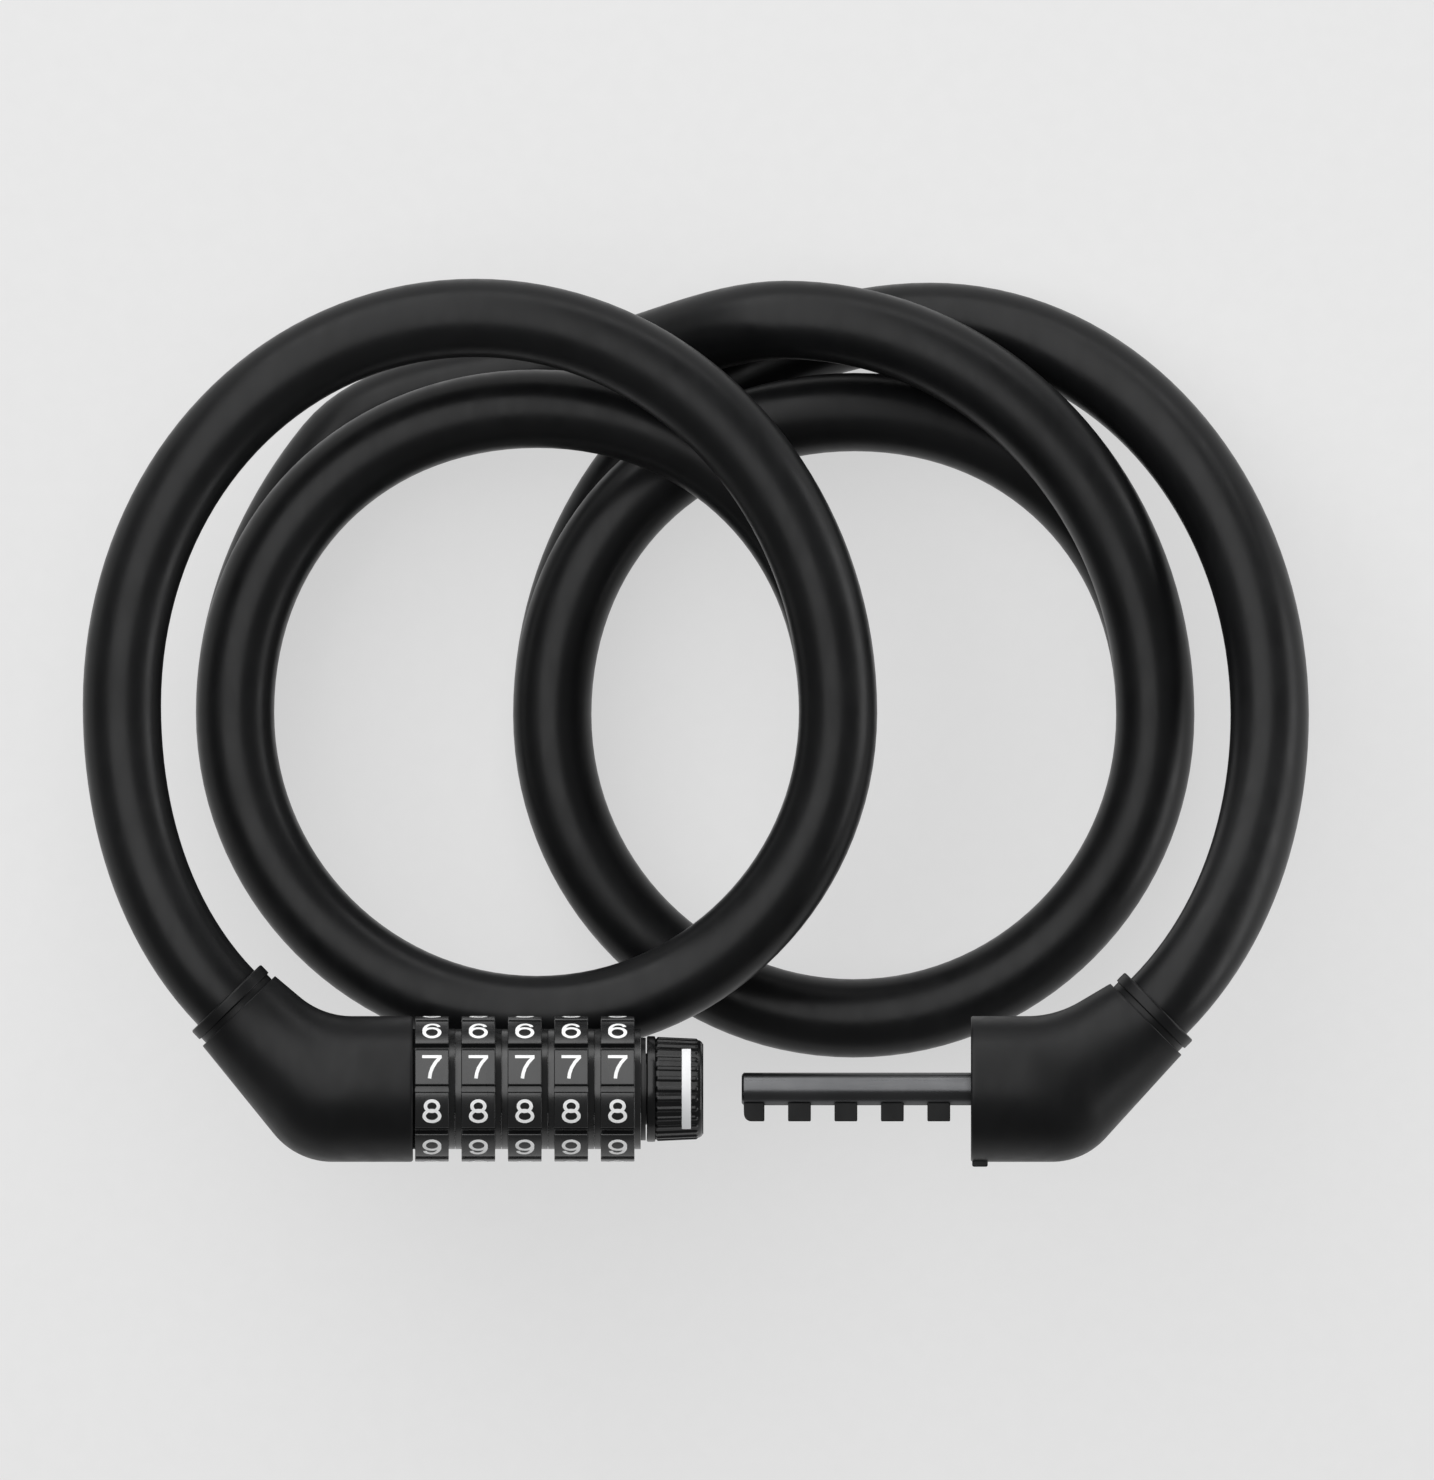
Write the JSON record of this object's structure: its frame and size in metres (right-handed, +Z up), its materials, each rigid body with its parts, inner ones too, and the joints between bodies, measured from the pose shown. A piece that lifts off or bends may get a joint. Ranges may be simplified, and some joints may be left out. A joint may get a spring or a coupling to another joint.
{
  "type": "cable lock",
  "caption": "Coiled vinyl-covered steel cable with a rotating-dial combination barrel on one end and a toothed bolt in an elbow housing on the other.",
  "frame": {"origin": "on the floor, under the middle of the coiled lock", "axes": "+X runs from the dial barrel to the bolt, +Y from the barrel towards the far side of the coils, +Z up"},
  "size_m": [0.1875, 0.1358, 0.0661],
  "materials": {
    "cable_vinyl": "satin black vinyl",
    "housing": "satin black",
    "collar": "satin black",
    "dial": "satin black with white digits",
    "bush": "satin black",
    "knob": "satin black, ribbed",
    "mark": "pale inlay",
    "bolt": "black nickel, polished",
    "steel": "plain steel",
    "brass": "plain brass"
  },
  "bodies": {
    "root": {"cable": "cable_vinyl", "cable_tail": "cable_vinyl", "lock_housing": "housing", "lock_cable_collar": "collar", "lock_ferrule": "brass", "lock_ferrule_pin": "steel", "lock_core_end": "steel", "core_tube": "steel", "core_tube_pin": "steel", "click_spring": "steel", "end_bush": "bush", "knob_clip": "steel"},
    "dial_1": {"dial_1": "dial"},
    "dial_2": {"dial_2": "dial"},
    "dial_3": {"dial_3": "dial"},
    "dial_4": {"dial_4": "dial"},
    "dial_5": {"dial_5": "dial"},
    "tumbler_1": {"tumbler_1": "brass"},
    "tumbler_2": {"tumbler_2": "brass"},
    "tumbler_3": {"tumbler_3": "brass"},
    "tumbler_4": {"tumbler_4": "brass"},
    "tumbler_5": {"tumbler_5": "brass"},
    "knob": {"reset_knob": "knob", "knob_index_mark": "mark"},
    "bolt_end": {"toothed_bolt": "bolt", "bolt_pin": "steel", "bolt_housing": "housing", "bolt_cable_collar": "collar", "bolt_ferrule": "brass", "bolt_ferrule_pin": "steel", "bolt_core_end": "steel"}
  },
  "joints": [
    {"name": "dial_1_turn", "type": "hinge", "parent": "root", "child": "dial_1", "pos_m": [-0.0403, -0.056, 0.055], "axis": [1, 0, 0], "continuous": true},
    {"name": "dial_2_turn", "type": "hinge", "parent": "root", "child": "dial_2", "pos_m": [-0.0332, -0.056, 0.055], "axis": [1, 0, 0], "continuous": true},
    {"name": "dial_3_turn", "type": "hinge", "parent": "root", "child": "dial_3", "pos_m": [-0.0261, -0.056, 0.055], "axis": [1, 0, 0], "continuous": true},
    {"name": "dial_4_turn", "type": "hinge", "parent": "root", "child": "dial_4", "pos_m": [-0.019, -0.056, 0.055], "axis": [1, 0, 0], "continuous": true},
    {"name": "dial_5_turn", "type": "hinge", "parent": "root", "child": "dial_5", "pos_m": [-0.0119, -0.056, 0.055], "axis": [1, 0, 0], "continuous": true},
    {"name": "reset_knob_turn", "type": "hinge", "parent": "root", "child": "knob", "pos_m": [-0.003, -0.056, 0.055], "axis": [1, 0, 0], "range_deg": [0, 90]},
    {"name": "tumbler_1_shift", "type": "slide", "parent": "dial_1", "child": "tumbler_1", "axis": [1, 0, 0], "range_m": [0, 0.0018]},
    {"name": "tumbler_2_shift", "type": "slide", "parent": "dial_2", "child": "tumbler_2", "axis": [1, 0, 0], "range_m": [0, 0.0018]},
    {"name": "tumbler_3_shift", "type": "slide", "parent": "dial_3", "child": "tumbler_3", "axis": [1, 0, 0], "range_m": [0, 0.0018]},
    {"name": "tumbler_4_shift", "type": "slide", "parent": "dial_4", "child": "tumbler_4", "axis": [1, 0, 0], "range_m": [0, 0.0018]},
    {"name": "tumbler_5_shift", "type": "slide", "parent": "dial_5", "child": "tumbler_5", "axis": [1, 0, 0], "range_m": [0, 0.0018]},
    {"name": "bolt_insert", "type": "slide", "parent": "root", "child": "bolt_end", "axis": [-1, 0, 0], "range_m": [0, 0.051], "stiffness_N_per_m": 20, "deforming": ["cable_tail"]}
  ],
  "couplings": [
    {"joint": "reset_knob_turn", "follows": "tumbler_1_shift", "rad_per_m": 872.6},
    {"joint": "tumbler_2_shift", "follows": "tumbler_1_shift", "ratio": 1},
    {"joint": "tumbler_3_shift", "follows": "tumbler_1_shift", "ratio": 1},
    {"joint": "tumbler_4_shift", "follows": "tumbler_1_shift", "ratio": 1},
    {"joint": "tumbler_5_shift", "follows": "tumbler_1_shift", "ratio": 1}
  ]
}
